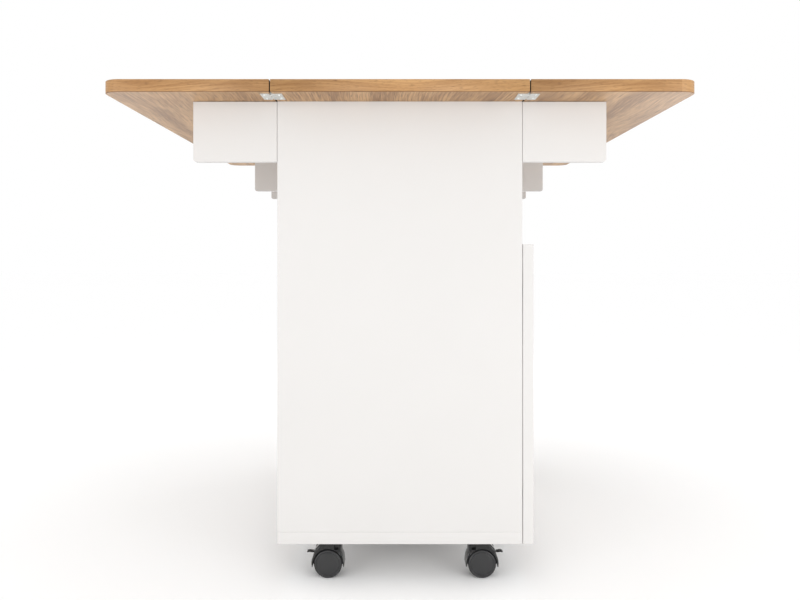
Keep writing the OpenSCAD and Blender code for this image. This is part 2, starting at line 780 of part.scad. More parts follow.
// One wheel, face at +X, as a profile turned about X
module wheel() {
    face_r = wheel_r * 0.82;
    rotate([0, 90, 0]) difference() {
        rotate_extrude($fn = 96) polygon([[0, 0], [wheel_r - 1.5, 0], [wheel_r, 1.5], [wheel_r, wheel_w - 3.5],
            [wheel_r - 1, wheel_w - 1.2], [wheel_r - 3, wheel_w - 0.2], [face_r + 0.8, wheel_w - 0.2],
            [face_r + 0.4, wheel_w - 0.9], [face_r, wheel_w - 0.2], [face_r - 2, wheel_w], [0, wheel_w]]);
        translate([0, 0, -1]) cylinder(r = axle_r + press, h = wheel_w - 2);
    }
}
module wheels(k) {
    at_caster(k) translate([0, trail, wheel_r]) {
        color(wheel_grey) {
            translate([web_t / 2 + wheel_gap, 0, 0]) wheel();
            mirror([1, 0, 0]) translate([web_t / 2 + wheel_gap, 0, 0]) wheel();
        }
        color(steel) rod_x(-web_t / 2 - wheel_w + 4, web_t / 2 + wheel_w - 4, 0, 0, axle_r);
    }
}
// A lever seen along the wheel axle, as a chain of round-ended strips from its pivot to its tip
lever_path = [[0, 0], [5, -4.5], [9.5, -9], [12.5, -11.2], [16, -11.4], [20, -10.9], [24, -11.9]];
module lever_outline() {
    translate(lever_pivot) {
        circle(r = 3.1);
        for (i = [0:len(lever_path) - 2]) hull() for (p = [lever_path[i], lever_path[i + 1]])
            translate(p) circle(r = lever_half_t);
    }
}
module brake_lever(k) {
    at_caster(k) color(black) {
        across(lever_w) lever_outline();
        rod_x(-lever_pin_len / 2, lever_pin_len / 2, trail + lever_pivot[0], lever_pivot[1], lever_pin_r);
    }
}

top_panel();
leaf(-1);  // leaf_front
leaf(1);  // leaf_back
leaf_hinge_bases();
leaf_wings(-1);  // leaf_wings_front
leaf_wings(1);  // leaf_wings_back
base_board();
end_panel(-1);  // end_panel_near
end_panel(1);  // end_panel_far
partition();
upper_decks();
dividers();
front_rails();
back_rails();
back_panel();
shelf(0);  // shelf_near
shelf(1);  // shelf_far
shelf_pins();
assembly_screws();
bracket(-1, hinge_faces[0]);  // bracket_front_near
bracket(-1, hinge_faces[1]);  // bracket_front_mid
bracket(-1, hinge_faces[2]);  // bracket_front_far
bracket(1, hinge_faces[0]);  // bracket_back_near
bracket(1, hinge_faces[1]);  // bracket_back_mid
bracket(1, hinge_faces[2]);  // bracket_back_far
bracket_wing(-1, hinge_faces[0]);  // wing_front_near
bracket_wing(-1, hinge_faces[1]);  // wing_front_mid
bracket_wing(-1, hinge_faces[2]);  // wing_front_far
bracket_wing(1, hinge_faces[0]);  // wing_back_near
bracket_wing(1, hinge_faces[1]);  // wing_back_mid
bracket_wing(1, hinge_faces[2]);  // wing_back_far
bracket_hinge_bases();
door(0);  // door_near
door(1);  // door_far
hinge_cups(0);  // hinge_cups_near
hinge_cups(1);  // hinge_cups_far
hinge_arms();
door_handle(0);  // door_handle_near
door_handle(1);  // door_handle_far
drawer_front(0);  // drawer_front_wide
drawer_front(1);  // drawer_front_narrow
drawer_box(0);  // drawer_box_wide
drawer_box(1);  // drawer_box_narrow
drawer_handle(0);  // drawer_handle_wide
drawer_handle(1);  // drawer_handle_narrow
drawer_slides(0);  // drawer_slides_wide
drawer_slides(1);  // drawer_slides_narrow
runner_channels();
caster_plates();
hood(0, true);  // hood_near_front
hood(1, true);  // hood_near_back
hood(2, false);  // hood_far_front
hood(3, false);  // hood_far_back
wheels(0);  // wheels_near_front
wheels(1);  // wheels_near_back
wheels(2);  // wheels_far_front
wheels(3);  // wheels_far_back
brake_lever(0);  // brake_lever_front
brake_lever(1);  // brake_lever_back
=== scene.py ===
# %% [markdown]
# # A drop-leaf kitchen island on casters
# The real object is flat-pack furniture: a white cabinet of coated boards, a worktop in oak-look foil
# with two hinged leaves, swing-out brackets under the leaves, and four twin-wheel casters.
# The CAD model fixes every size and joint. This script gives each part its finish, its eased edges
# and the small forms that the CAD leaves plain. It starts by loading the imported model.

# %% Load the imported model
import json
import math

import bmesh
import bpy
import numpy as np
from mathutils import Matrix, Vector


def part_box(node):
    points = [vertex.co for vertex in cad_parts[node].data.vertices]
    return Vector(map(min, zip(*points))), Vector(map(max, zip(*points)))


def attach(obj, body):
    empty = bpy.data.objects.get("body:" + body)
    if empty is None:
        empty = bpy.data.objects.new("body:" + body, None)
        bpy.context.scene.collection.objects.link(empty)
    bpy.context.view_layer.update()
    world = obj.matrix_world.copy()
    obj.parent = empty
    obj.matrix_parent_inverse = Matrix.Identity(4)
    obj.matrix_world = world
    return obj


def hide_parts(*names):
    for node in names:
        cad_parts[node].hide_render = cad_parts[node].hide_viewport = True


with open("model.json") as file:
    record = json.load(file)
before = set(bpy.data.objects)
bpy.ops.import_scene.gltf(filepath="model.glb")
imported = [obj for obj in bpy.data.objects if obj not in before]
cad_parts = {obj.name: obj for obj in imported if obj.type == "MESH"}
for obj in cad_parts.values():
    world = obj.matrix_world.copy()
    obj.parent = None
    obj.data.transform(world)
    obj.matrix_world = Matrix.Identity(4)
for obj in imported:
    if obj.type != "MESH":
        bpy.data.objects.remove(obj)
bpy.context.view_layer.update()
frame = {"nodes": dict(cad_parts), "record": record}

MM = 0.001
record = frame["record"]
body_of_node = {node: body for body, nodes in record["behaviour"]["bodies"].items() for node in nodes}

# %% [markdown]
# ## The camera
# The picture to match was taken level, square to one end of the cabinet. Two vanishing lines in it
# give the eye height and the distance. A small vertical shift does what a product photographer's
# shift lens does: it frames the object without tilting the camera, so uprights stay upright.

# %% Camera
# Eye position in metres from the middle of the floor, lens in mm, shifts in shares of the sensor width
EYE_DISTANCE = 1.970
EYE_SIDE = 0.0056
EYE_HEIGHT = 0.592
SENSOR_WIDTH = 36.0
FOCAL_LENGTH = 36.97
SHIFT_ACROSS = 0.0041
SHIFT_UP = -0.0519
camera_data = bpy.data.cameras.new("end_view")
camera_data.sensor_width = SENSOR_WIDTH
camera_data.lens = FOCAL_LENGTH
camera_data.shift_x = SHIFT_ACROSS
camera_data.shift_y = SHIFT_UP
camera = bpy.data.objects.new("end_view", camera_data)
camera.location = (-EYE_DISTANCE, EYE_SIDE, EYE_HEIGHT)
camera.rotation_euler = (math.pi / 2, 0, -math.pi / 2)
bpy.context.scene.collection.objects.link(camera)
bpy.context.scene.camera = camera
print("camera at", [round(v, 3) for v in camera.location])

# %% [markdown]
# ## Floor and light
# A white studio: a pale floor as white as the surround, so that no horizon shows, and four large
# soft lights, two before the near end and two behind the far end. Large lights make soft shadows,
# and the plain display transform keeps white white.

# %% Floor and light
def stage_floor(half):
    """A flat square of the given half width at height 0, where the casters stand."""
    corners = [(-half, -half, 0), (half, -half, 0), (half, half, 0), (-half, half, 0)]
    mesh = bpy.data.meshes.new("floor")
    mesh.from_pydata(corners, [], [(0, 1, 2, 3)])
    floor = bpy.data.objects.new("floor", mesh)
    bpy.context.scene.collection.objects.link(floor)
    return floor


def soft_light(name, place, aim, size, power):
    """A square area light of the given size at place, turned so that it shines at aim."""
    data = bpy.data.lights.new(name, "AREA")
    data.shape = "SQUARE"
    data.size = size
    data.energy = power
    lamp = bpy.data.objects.new(name, data)
    lamp.location = place
    direction = np.subtract(aim, place)
    yaw = math.atan2(direction[1], direction[0]) - math.pi / 2
    pitch = math.atan2(direction[2], math.hypot(direction[0], direction[1])) + math.pi / 2
    lamp.rotation_euler = (pitch, 0, yaw)
    bpy.context.scene.collection.objects.link(lamp)


FLOOR_HALF = 30.0
LIGHT_HEIGHT = 0.6
LIGHT_SIZE = 1.2
# Name, x and y in metres, and power in watts
LIGHTS = [
    ("near_right_light", -2.4, -1.7, 18),
    ("near_left_light", -2.4, 1.7, 13.5),
    ("far_right_light", 2.4, -1.9, 12),
    ("far_left_light", 2.4, 1.9, 8),
]
floor = stage_floor(FLOOR_HALF)
for name, x, y, power in LIGHTS:
    soft_light(name, (x, y, LIGHT_HEIGHT), (0, 0, LIGHT_HEIGHT), LIGHT_SIZE, power)
world = bpy.data.worlds.new("white_studio")
world.use_nodes = True
world.node_tree.nodes["Background"].inputs["Color"].default_value = (1, 1, 1, 1)
world.node_tree.nodes["Background"].inputs["Strength"].default_value = 1.0
bpy.context.scene.world = world
bpy.context.scene.view_settings.view_transform = "Standard"

# %% [markdown]
# ## Helpers for finishes
# Paint charts and photographs give colours as sRGB hex, while Blender calculates with linear light,
# so one function converts. A second one adds a shader node with its settings and links.

# %% Helpers for finishes
def to_linear(hex_colour):
    """sRGB hex to linear: c / 12.92 below 0.04045, else ((c + 0.055) / 1.055) to the power 2.4."""
    channels = np.array([int(hex_colour[i:i + 2], 16) for i in (1, 3, 5)]) / 255
    linear = np.where(channels <= 0.04045, channels / 12.92, ((channels + 0.055) / 1.055) ** 2.4)
    return (*linear.tolist(), 1.0)


def add(tree, kind, inputs=None, **settings):
    """Adds a node, sets its properties, then fills each input with a value or links an output to it."""
    node = tree.nodes.new(kind)
    for name, value in settings.items():
        setattr(node, name, value)
    for key, value in (inputs or {}).items():
        if isinstance(value, bpy.types.NodeSocket):
            tree.links.new(value, node.inputs[key])
        else:
            node.inputs[key].default_value = value
    return node


def start_material(name, **sockets):
    """A material with the given constant sockets on its Principled shader, its tree and that shader."""
    material = bpy.data.materials.new(name)
    material.use_nodes = True
    shader = material.node_tree.nodes["Principled BSDF"]
    for key, value in sockets.items():
        shader.inputs[key.replace("_", " ")].default_value = value
    return material, material.node_tree, shader


# Positions of the colour sockets of a Mix node set to RGBA
FACTOR, COLOUR_A, COLOUR_B, COLOUR_OUT = 0, 6, 7, 2
floor_paint, tree, shader = start_material("pale_floor_paint", Roughness=0.9)
shader.inputs["Base Color"].default_value = to_linear("#FFFFFF")
floor.data.materials.append(floor_paint)
print("oak sample in linear light:", [round(v, 3) for v in to_linear("#C1996C")])

# %% [markdown]
# ## Grain
# The grain of a sawn plank runs lengthwise and sways slowly sideways. Noise stretched along the plank
# gives such streaks. The boards carry a UV map in metres whose first axis follows the grain, so that
# it runs lengthwise on the edges too, and a slow noise moves the second axis to make it sway.

# %% Grain
def stretched_noise(tree, vector, length, width, detail):
    """Noise whose blobs are length metres along the grain and width metres across it."""
    scaled = add(tree, "ShaderNodeMapping", {"Vector": vector, "Scale": (1 / length, 1 / width, 1)})
    return add(tree, "ShaderNodeTexNoise",
               {"Vector": scaled.outputs["Vector"], "Scale": 1.0, "Detail": detail}).outputs["Fac"]


# Length and width in metres of one bend of the grain, and how far a bend reaches sideways
SWAY_SIZE = (0.30, 0.25)
SWAY_REACH = 0.05


def swayed_grain(tree):
    """The grain map, moved across the grain by reach times (noise - 1/2)."""
    straight = add(tree, "ShaderNodeUVMap", uv_map="grain").outputs["UV"]
    sway = stretched_noise(tree, straight, *SWAY_SIZE, 0)
    sideways = add(tree, "ShaderNodeMath", {0: sway, 1: SWAY_REACH, 2: -SWAY_REACH / 2},
                   operation="MULTIPLY_ADD").outputs[0]
    offset = add(tree, "ShaderNodeCombineXYZ", {"Y": sideways}).outputs[0]
    return add(tree, "ShaderNodeVectorMath", {0: straight, 1: offset}, operation="ADD").outputs[0]


print("bends of the grain in mm: length", SWAY_SIZE[0] / MM, "and at most", SWAY_REACH / 2 / MM, "each way")

# %% [markdown]
# ## Oak-look melamine foil
# The worktop is chipboard in a printed foil pressed against a grained plate. It shows broad tone
# changes a few centimetres wide, streaks a few millimetres wide and some centimetres long, and dark
# pores. The real pores are about 0.3 mm wide, too fine to show, so they are drawn 0.9 mm wide on the
# bands, which are near the eye, and 1.6 mm wide on the broad faces, which are seen at a slant. The
# foil is matt, with a faint relief of the grain.

# %% Oak-look foil
# Length and width in metres of one change of tone and one streak
TONE_SIZE = (0.5, 0.05)
STREAK_SIZE = (0.09, 0.0035)
# The noise levels where a pore starts and where it is deepest
PORE_START, PORE_FULL = 0.58, 0.74


def oak_foil(name, pale, mid, dark, spread, pore_size, pore_depth):
    """Oak-look foil: tone, streaks and pores are three stretched noises on the swayed grain map, laid
    over each other. The pores also dent the surface, and the streaks lift it."""
    material, tree, shader = start_material(name, Roughness=0.48, IOR=1.5)
    grain = swayed_grain(tree)
    tone = stretched_noise(tree, grain, *TONE_SIZE, 2)
    streaks = stretched_noise(tree, grain, *STREAK_SIZE, 3)
    pores = stretched_noise(tree, grain, *pore_size, 1)
    total = add(tree, "ShaderNodeMath", {0: streaks, 1: tone}, operation="ADD").outputs[0]
    blend = add(tree, "ShaderNodeMapRange",
                {"Value": total, "From Min": 1 - spread, "From Max": 1 + spread}).outputs[0]
    wood = add(tree, "ShaderNodeMix", {FACTOR: blend, COLOUR_A: to_linear(pale), COLOUR_B: to_linear(mid)},
               data_type="RGBA").outputs[COLOUR_OUT]
    pits = add(tree, "ShaderNodeMapRange",
               {"Value": pores, "From Min": PORE_START, "From Max": PORE_FULL}).outputs[0]
    depth = add(tree, "ShaderNodeMath", {0: pits, 1: pore_depth}, operation="MULTIPLY").outputs[0]
    wood = add(tree, "ShaderNodeMix", {FACTOR: depth, COLOUR_A: wood, COLOUR_B: to_linear(dark)},
               data_type="RGBA").outputs[COLOUR_OUT]
    height = add(tree, "ShaderNodeMath", {0: streaks, 1: pits}, operation="SUBTRACT").outputs[0]
    bump = add(tree, "ShaderNodeBump", {"Height": height, "Strength": 0.35, "Distance": 0.15 * MM})
    tree.links.new(wood, shader.inputs["Base Color"])
    tree.links.new(bump.outputs["Normal"], shader.inputs["Normal"])
    return material


FACE_PORE = (50 * MM, 1.6 * MM)
BAND_PORE = (12 * MM, 0.9 * MM)
oak = oak_foil("oak_look_melamine_foil", "#C1996C", "#8C6743", "#4A311C", 0.19, FACE_PORE, 0.9)
oak_band = oak_foil("oak_look_edge_band", "#C39764", "#986D3F", "#5F3E1E", 0.28, BAND_PORE, 0.75)
# A darker copy of the edge band for its lower rounding: painted shade where that rounding faces down
band_rim_painted_shade = oak_foil("oak_look_band_lower_edge_painted_shade", "#8A6440", "#6E4C2C", "#4A3018", 0.28, BAND_PORE, 0.75)
print("oak foil nodes:", len(oak.node_tree.nodes))

# %% [markdown]
# ## White coated board
# Cabinet boards are chipboard under a matt white melamine film. Pressing leaves a faint orange-peel
# relief, here 1.5 mm across, and soft differences in tone, 250 mm across, that only show on large
# panels. The drawer boxes are wrapped in a duller off-white foil.

# %% White boards
BOARD_TONE = 250 * MM
BOARD_PEEL = 1.5 * MM


def coated_board(name, light, shade, roughness):
    """Matt film: two whites blended by slow noise, with a fine orange-peel bump."""
    material, tree, shader = start_material(name, Roughness=roughness, IOR=1.5)
    place = add(tree, "ShaderNodeTexCoord").outputs["Object"]
    slow = add(tree, "ShaderNodeTexNoise",
               {"Vector": place, "Scale": 1 / BOARD_TONE, "Detail": 2.0}).outputs["Fac"]
    film = add(tree, "ShaderNodeMix",
               {FACTOR: slow, COLOUR_A: to_linear(light), COLOUR_B: to_linear(shade)},
               data_type="RGBA").outputs[COLOUR_OUT]
    peel = add(tree, "ShaderNodeTexNoise",
               {"Vector": place, "Scale": 1 / BOARD_PEEL, "Detail": 1.0}).outputs["Fac"]
    bump = add(tree, "ShaderNodeBump", {"Height": peel, "Strength": 0.08, "Distance": 0.1 * MM})
    tree.links.new(film, shader.inputs["Base Color"])
    tree.links.new(bump.outputs["Normal"], shader.inputs["Normal"])
    return material


white = coated_board("white_melamine_board", "#D4D2D0", "#D0CECC", 0.5)
drawer_white = coated_board("off_white_drawer_foil", "#CDCAC5", "#C7C4BF", 0.6)
print("boards:", white.name, drawer_white.name)

# %% [markdown]
# ## Metals
# Hinges, runners and screws are bright zinc-plated steel, cloudy in patches of 3 mm. The handles
# are satin nickel, brushed along the bar: real scratches are finer than 0.1 mm, and are drawn 0.5 mm
# wide so that they show.

# %% Metals
def plated_metal(name, light, shade, grain_size, rough_low, rough_high):
    """Metal with cloudy differences of grain_size (x, y, z) in metres in both colour and roughness."""
    material, tree, shader = start_material(name, Metallic=1.0)
    place = add(tree, "ShaderNodeTexCoord").outputs["Object"]
    scaled = add(tree, "ShaderNodeMapping", {"Vector": place, "Scale": tuple(1 / v for v in grain_size)})
    cloud = add(tree, "ShaderNodeTexNoise",
                {"Vector": scaled.outputs["Vector"], "Scale": 1.0, "Detail": 2.0}).outputs["Fac"]
    metal = add(tree, "ShaderNodeMix",
                {FACTOR: cloud, COLOUR_A: to_linear(light), COLOUR_B: to_linear(shade)},
                data_type="RGBA").outputs[COLOUR_OUT]
    rough = add(tree, "ShaderNodeMapRange",
                {"Value": cloud, "To Min": rough_low, "To Max": rough_high}).outputs[0]
    tree.links.new(metal, shader.inputs["Base Color"])
    tree.links.new(rough, shader.inputs["Roughness"])
    return material


ZINC_CLOUD = (3 * MM, 3 * MM, 3 * MM)
NICKEL = ("#C9C5BE", "#ABA79F")
SCRATCH, SCRATCH_LENGTH = 0.5 * MM, 40 * MM
UPRIGHT_SCRATCH = (SCRATCH, SCRATCH, SCRATCH_LENGTH)
LEVEL_SCRATCH = (SCRATCH_LENGTH, SCRATCH, SCRATCH)
zinc = plated_metal("zinc_plated_steel", "#E2E5E4", "#DADDDC", ZINC_CLOUD, 0.3, 0.42)
nickel_upright = plated_metal("satin_nickel_brushed_upright", *NICKEL, UPRIGHT_SCRATCH, 0.26, 0.4)
nickel_level = plated_metal("satin_nickel_brushed_level", *NICKEL, LEVEL_SCRATCH, 0.26, 0.4)
print("metals:", zinc.name, nickel_upright.name, nickel_level.name)

# %% [markdown]
# ## Plastics
# The caster hoods are glossy black nylon and the wheels grey polypropylene. Both are moulded against
# a lightly spark-eroded tool that leaves a fine even grit, drawn 0.6 mm across. The painted shade in the
# seams of the worktop, a near-black plastic finish on the seam faces, is made by the same function later.

# %% Plastics
def moulded_plastic(name, light, shade, roughness, grit):
    """Plastic with noise of grit metres in its bump and changes of tone, 60 to a metre."""
    material, tree, shader = start_material(name, Roughness=roughness, IOR=1.5)
    place = add(tree, "ShaderNodeTexCoord").outputs["Object"]
    slow = add(tree, "ShaderNodeTexNoise", {"Vector": place, "Scale": 60.0, "Detail": 1.0}).outputs["Fac"]
    colour = add(tree, "ShaderNodeMix",
                 {FACTOR: slow, COLOUR_A: to_linear(light), COLOUR_B: to_linear(shade)},
                 data_type="RGBA").outputs[COLOUR_OUT]
    fine = add(tree, "ShaderNodeTexNoise",
               {"Vector": place, "Scale": 1 / grit, "Detail": 0.0}).outputs["Fac"]
    bump = add(tree, "ShaderNodeBump", {"Height": fine, "Strength": 0.15, "Distance": 0.1 * MM})
    tree.links.new(colour, shader.inputs["Base Color"])
    tree.links.new(bump.outputs["Normal"], shader.inputs["Normal"])
    return material


GRIT = 0.6 * MM
nylon = moulded_plastic("black_moulded_nylon", "#111112", "#0B0B0C", 0.22, GRIT)
wheel_plastic = moulded_plastic("grey_moulded_polypropylene", "#2B2B2C", "#252526", 0.4, GRIT)
print("plastics:", nylon.name, wheel_plastic.name)

# %% [markdown]
# ## Putting surfaces into meshes
# Every new piece is a stack of closed rings of points, worked out as one numpy array: rows are rings,
# columns go round. Neighbouring points make quads, and the first and last ring are closed with one
# flat face each. The same function measures a UV map in metres, round the ring and along the stack.

# %% Surfaces into meshes
def skin(rings):
    """Quads between ring i and i + 1, and column j and j + 1, with a flat face on each end ring. Their
    map is (length round the middle ring, mean length along the stack)."""
    rows, columns = rings.shape[:2]
    i, j = np.meshgrid(np.arange(rows - 1), np.arange(columns), indexing="ij")
    k = (j + 1) % columns
    quads = np.stack([i * columns + j, i * columns + k, (i + 1) * columns + k, (i + 1) * columns + j], -1)
    middle = rings[rows // 2]
    around = np.append(0, np.cumsum(np.linalg.norm(np.roll(middle, -1, 0) - middle, axis=1)))
    along = np.append(0, np.cumsum(np.linalg.norm(np.diff(rings, axis=0), axis=2).mean(1)))
    corners = [(j, i), (j + 1, i), (j + 1, i + 1), (j, i + 1)]
    uv = np.stack([np.stack([around[across], along[up]], -1) for across, up in corners], 2)
    ends = [np.arange(columns)[::-1], (rows - 1) * columns + np.arange(columns)]
    return rings.reshape(-1, 3), quads.reshape(-1, 4), uv.reshape(-1, 4, 2), ends


def join_skins(name, parts):
    """Joins the skins of several stacks of rings into one mesh. On end faces the map is (x, y)."""
    points, faces, uvs, flat = [], [], [], []
    start = 0
    for rings in parts:
        part_points, quads, quad_uv, ends = skin(np.asarray(rings, float))
        points.append(part_points)
        faces += (quads + start).tolist() + [(end + start).tolist() for end in ends]
        uvs += [quad_uv.reshape(-1, 2)] + [part_points[end][:, :2] for end in ends]
        flat += [False] * len(quads) + [True] * 2
        start += len(part_points)
    mesh = bpy.data.meshes.new(name)
    mesh.from_pydata(np.concatenate(points).tolist(), [], faces)
    mesh.uv_layers.new(name="grain").data.foreach_set("uv", np.concatenate(uvs).ravel())
    mesh.polygons.foreach_set("use_smooth", ~np.array(flat))
    outwards(mesh)
    return mesh


def outwards(mesh):
    """Turns every face outwards, part by part."""
    shape = bmesh.new()
    shape.from_mesh(mesh)
    bmesh.ops.recalc_face_normals(shape, faces=shape.faces)
    shape.to_mesh(mesh)
    shape.free()


print("two rings of four points give", len(skin(np.zeros((2, 4, 3)))[1]), "quads and 2 end faces")

# %% [markdown]
# ## Pieces of the dressed model
# Each new mesh is placed as a piece that rides on the body of the node it replaces, so it moves with
# that body's joint. The same function serves pieces built from rings and pieces copied from the CAD.

# %% Pieces
def place_piece(name, mesh, material, nodes):
    """Links the object, sets it on the body it rides on and hides the nodes it replaces."""
    mesh.materials.clear()
    mesh.materials.append(material)
    piece = bpy.data.objects.new(name, mesh)
    bpy.context.scene.collection.objects.link(piece)
    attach(piece, body_of_node[nodes[0]])
    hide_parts(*nodes)
    return piece


def make_piece(name, parts, material, *nodes):
    """One piece of joined skins that rides on the body of the nodes that it replaces."""
    return place_piece(name, join_skins(name, parts), material, nodes)


# %% [markdown]
# ## Outlines
# A board is a profile carried round an outline, which is the board's plan, counterclockwise. To move
# an outline inwards by one distance all round, each of its points moves along the mitre of its corner.

# %% Outlines
def rounded_outline(low, high, radii, steps):
    """Rectangle from low to high, counterclockwise: each corner is centre + radius (cos t, sin t)."""
    corners = np.array([(low[0], low[1]), (high[0], low[1]), (high[0], high[1]), (low[0], high[1])])
    inwards = np.array([(1, 1), (-1, 1), (-1, -1), (1, -1)])
    turns = np.radians([180, 270, 0, 90])[:, None] + np.linspace(0, math.pi / 2, steps + 1)
    radii = np.array(radii, float)[:, None, None]
    centres = corners[:, None] + inwards[:, None] * radii
    return (centres + radii * np.stack([np.cos(turns), np.sin(turns)], -1)).reshape(-1, 2)


def mitres(outline):
    """The step that moves both sides of a corner inwards by one: -(n1 + n2) / (1 + n1.n2)."""
    normals = []
    for side in (outline - np.roll(outline, 1, 0), np.roll(outline, -1, 0) - outline):
        across = np.stack([side[:, 1], -side[:, 0]], 1)
        normals.append(across / np.linalg.norm(side, axis=1, keepdims=True))
    first, second = normals
    return -(first + second) / (1 + (first * second).sum(1, keepdims=True))


print("mitres of a unit square:", mitres(np.array([(0, 0), (1, 0), (1, 1), (0, 1)])).tolist())

# %% [markdown]
# ## Eased boards
# The profile of a board is its edge: a quarter circle, a straight side and a quarter circle. Real
# coated boards have edges eased by about half a millimetre, and that thin highlight is what makes
# them look like boards. Each CAD node that is one plain board becomes one eased block.

# %% Eased boards
def eased_board(outline, low, high, ease, steps=3):
    """point(u, v) = outline(u) + inset(v) mitre(u) at height(v), for inset = ease (1 - sin t) and
    height = low + ease (1 - cos t) as t goes from 0 to a quarter turn, and the same from the top."""
    t = np.linspace(0, math.pi / 2, steps + 1)
    inset = ease * (1 - np.sin(t))
    rise = ease * (1 - np.cos(t))
    inset = np.append(inset, inset[::-1])[:, None, None]
    height = np.append(low + rise, (high - rise)[::-1])[:, None, None]
    plan = outline + inset * mitres(outline)
    return np.concatenate([plan, np.broadcast_to(height, plan.shape[:2] + (1,))], 2)


BOARD_EASE = 0.6 * MM
# A corner of the plan is rounded by a little more than the edges, so that their insets never meet
CORNER_EASE = 1.05 * BOARD_EASE
# Which of a board's own axes (plan, plan, thickness) gives x, y and z
STANDING_ACROSS = [2, 0, 1]
STANDING_ALONG = [0, 2, 1]
LYING = [0, 1, 2]


def eased_block(low, high):
    """A rectangular board between two corners, its thickness along its shortest side."""
    low, high = np.array(low), np.array(high)
    thin = int(np.argmin(high - low))
    order = [STANDING_ACROSS, STANDING_ALONG, LYING][thin]
    plan = [k for k in range(3) if k != thin]
    outline = rounded_outline(low[plan], high[plan], [CORNER_EASE] * 4, steps=3)
    return eased_board(outline, low[thin], high[thin], BOARD_EASE)[..., order]


def corner_arrays(node):
    """A node's lowest and highest corner as two arrays."""
    return [np.array(corner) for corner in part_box(node)]


print("a drawer front has", eased_block((0, 0, 0), (1, 0.018, 0.2)).shape, "ring points")

# %% [markdown]
# ## The white cabinet
# Two end panels, a partition, decks, dividers and rails stand on the base board. Each is one board,
# so each is an eased block in the place of its CAD node. Nodes that hold one board for each bay
# become two blocks. The partition is notched at its back for the back panel.

# %% Cabinet boards
near_face = corner_arrays("end_panel_near")[1][0]
far_face = corner_arrays("end_panel_far")[0][0]
partition_low, partition_high = corner_arrays("partition")
bays = [(near_face, partition_low[0]), (partition_high[0], far_face)]
for node in ["base_board", "end_panel_near", "end_panel_far", "back_panel", "shelf_near", "shelf_far",
             "drawer_front_wide", "drawer_front_narrow"]:
    make_piece(node + "_eased", [eased_block(*corner_arrays(node))], white, node)
for node in ["upper_decks", "dividers", "front_rails", "back_rails"]:
    low, high = corner_arrays(node)
    blocks = [eased_block((start, *low[1:]), (end, *high[1:])) for start, end in bays]
    make_piece(node + "_eased", blocks, white, node)

notch_y = corner_arrays("dividers")[1][1]
notch_z = corner_arrays("upper_decks")[0][2]
partition_plan = np.array([
    (partition_low[1], partition_low[2]),
    (notch_y, partition_low[2]),
    (notch_y, notch_z),
    (partition_high[1], notch_z),
    (partition_high[1], partition_high[2]),
    (partition_low[1], partition_high[2]),
])
partition_rings = eased_board(partition_plan, partition_low[0], partition_high[0], BOARD_EASE)
make_piece("partition_eased", [partition_rings[..., STANDING_ACROSS]], white, "partition")
print("bays from x to x in mm:", [[round(v / MM) for v in bay] for bay in bays])

# %% [markdown]
# ## Swing-out brackets
# Six small boards carry the leaves. Their lower outer corners are rounded by 5 mm, which shows
# against the white behind, so this outline gets a larger arc on that corner only.

# %% Brackets
BRACKET_CORNER = 5 * MM
bracket_nodes = [n for n in body_of_node if n.startswith("bracket_") and n != "bracket_hinge_bases"]
for node in bracket_nodes:
    low, high = corner_arrays(node)
    radii = [CORNER_EASE] * 4
    radii[0 if low[1] < 0 else 1] = BRACKET_CORNER
    plan = rounded_outline(low[1:], high[1:], radii, steps=5)
    rings = eased_board(plan, low[0], high[0], BOARD_EASE)[..., STANDING_ACROSS]
    make_piece(node + "_eased", [rings], white, node)
print("brackets:", len(bracket_nodes))

# %% [markdown]
# ## The worktop's seams
# The worktop is three boards in oak-look foil that meet at two seams. The hinges under the seams are
# found in the CAD mesh of their wings, so that the grooves for their knuckles come in the same places.

# %% Seams and hinges
top_low, top_high = corner_arrays("top_panel")
leaf_low, leaf_high = corner_arrays("leaf_front")
seam_half = (top_low[1] - leaf_high[1]) / 2
# Hinges are found as runs of x values in the wings' mesh, with gaps of over 20 mm between hinges
HINGE_GAP = 20 * MM
wing_mesh = frame["nodes"]["leaf_wings_front"].data
wing_points = np.empty(len(wing_mesh.vertices) * 3)
wing_mesh.vertices.foreach_get("co", wing_points)
wing_x = np.unique(wing_points[::3])
breaks = np.flatnonzero(np.diff(wing_x) > HINGE_GAP)
hinge_starts = wing_x[np.append(0, breaks + 1)]
hinge_length = wing_x[breaks[0]] - wing_x[0]
print("hinges start at x in mm:", [round(x / MM, 1) for x in hinge_starts], "and are",
      round(hinge_length / MM, 1), "long; seam half width:", round(seam_half / MM, 2))

# %% [markdown]
# ## Grooved boards
# Each seam has four grooves for hinge knuckles, cut as part of a cylinder along the lower edge. On the
# stretches of outline that lie in a groove, the profile's lower arc is swapped for the arc of that
# cylinder, so that the groove is real geometry.

# %% Grooved boards
# The groove's radius, and the height of its axis
GROOVE_RADIUS = 3.0 * MM
groove_z = top_low[2] + 1.2 * MM
EDGE_EASE = 1.4 * MM
EDGE_STEPS = 5
LEAF_CORNER = 30 * MM
LEAF_INNER_CORNER = 0.2 * MM


def seam_edge(y):
    """Points along a seam edge, four at each groove: just before, its two ends and just after."""
    clear, hair = 0.5 * MM, 0.02 * MM
    ends = np.array([-clear - hair, -clear, hinge_length + clear, hinge_length + clear + hair])
    x = (hinge_starts[:, None] + ends).ravel()
    return np.stack([x, np.full(len(x), y)], 1), np.tile([False, True, True, False], len(hinge_starts))


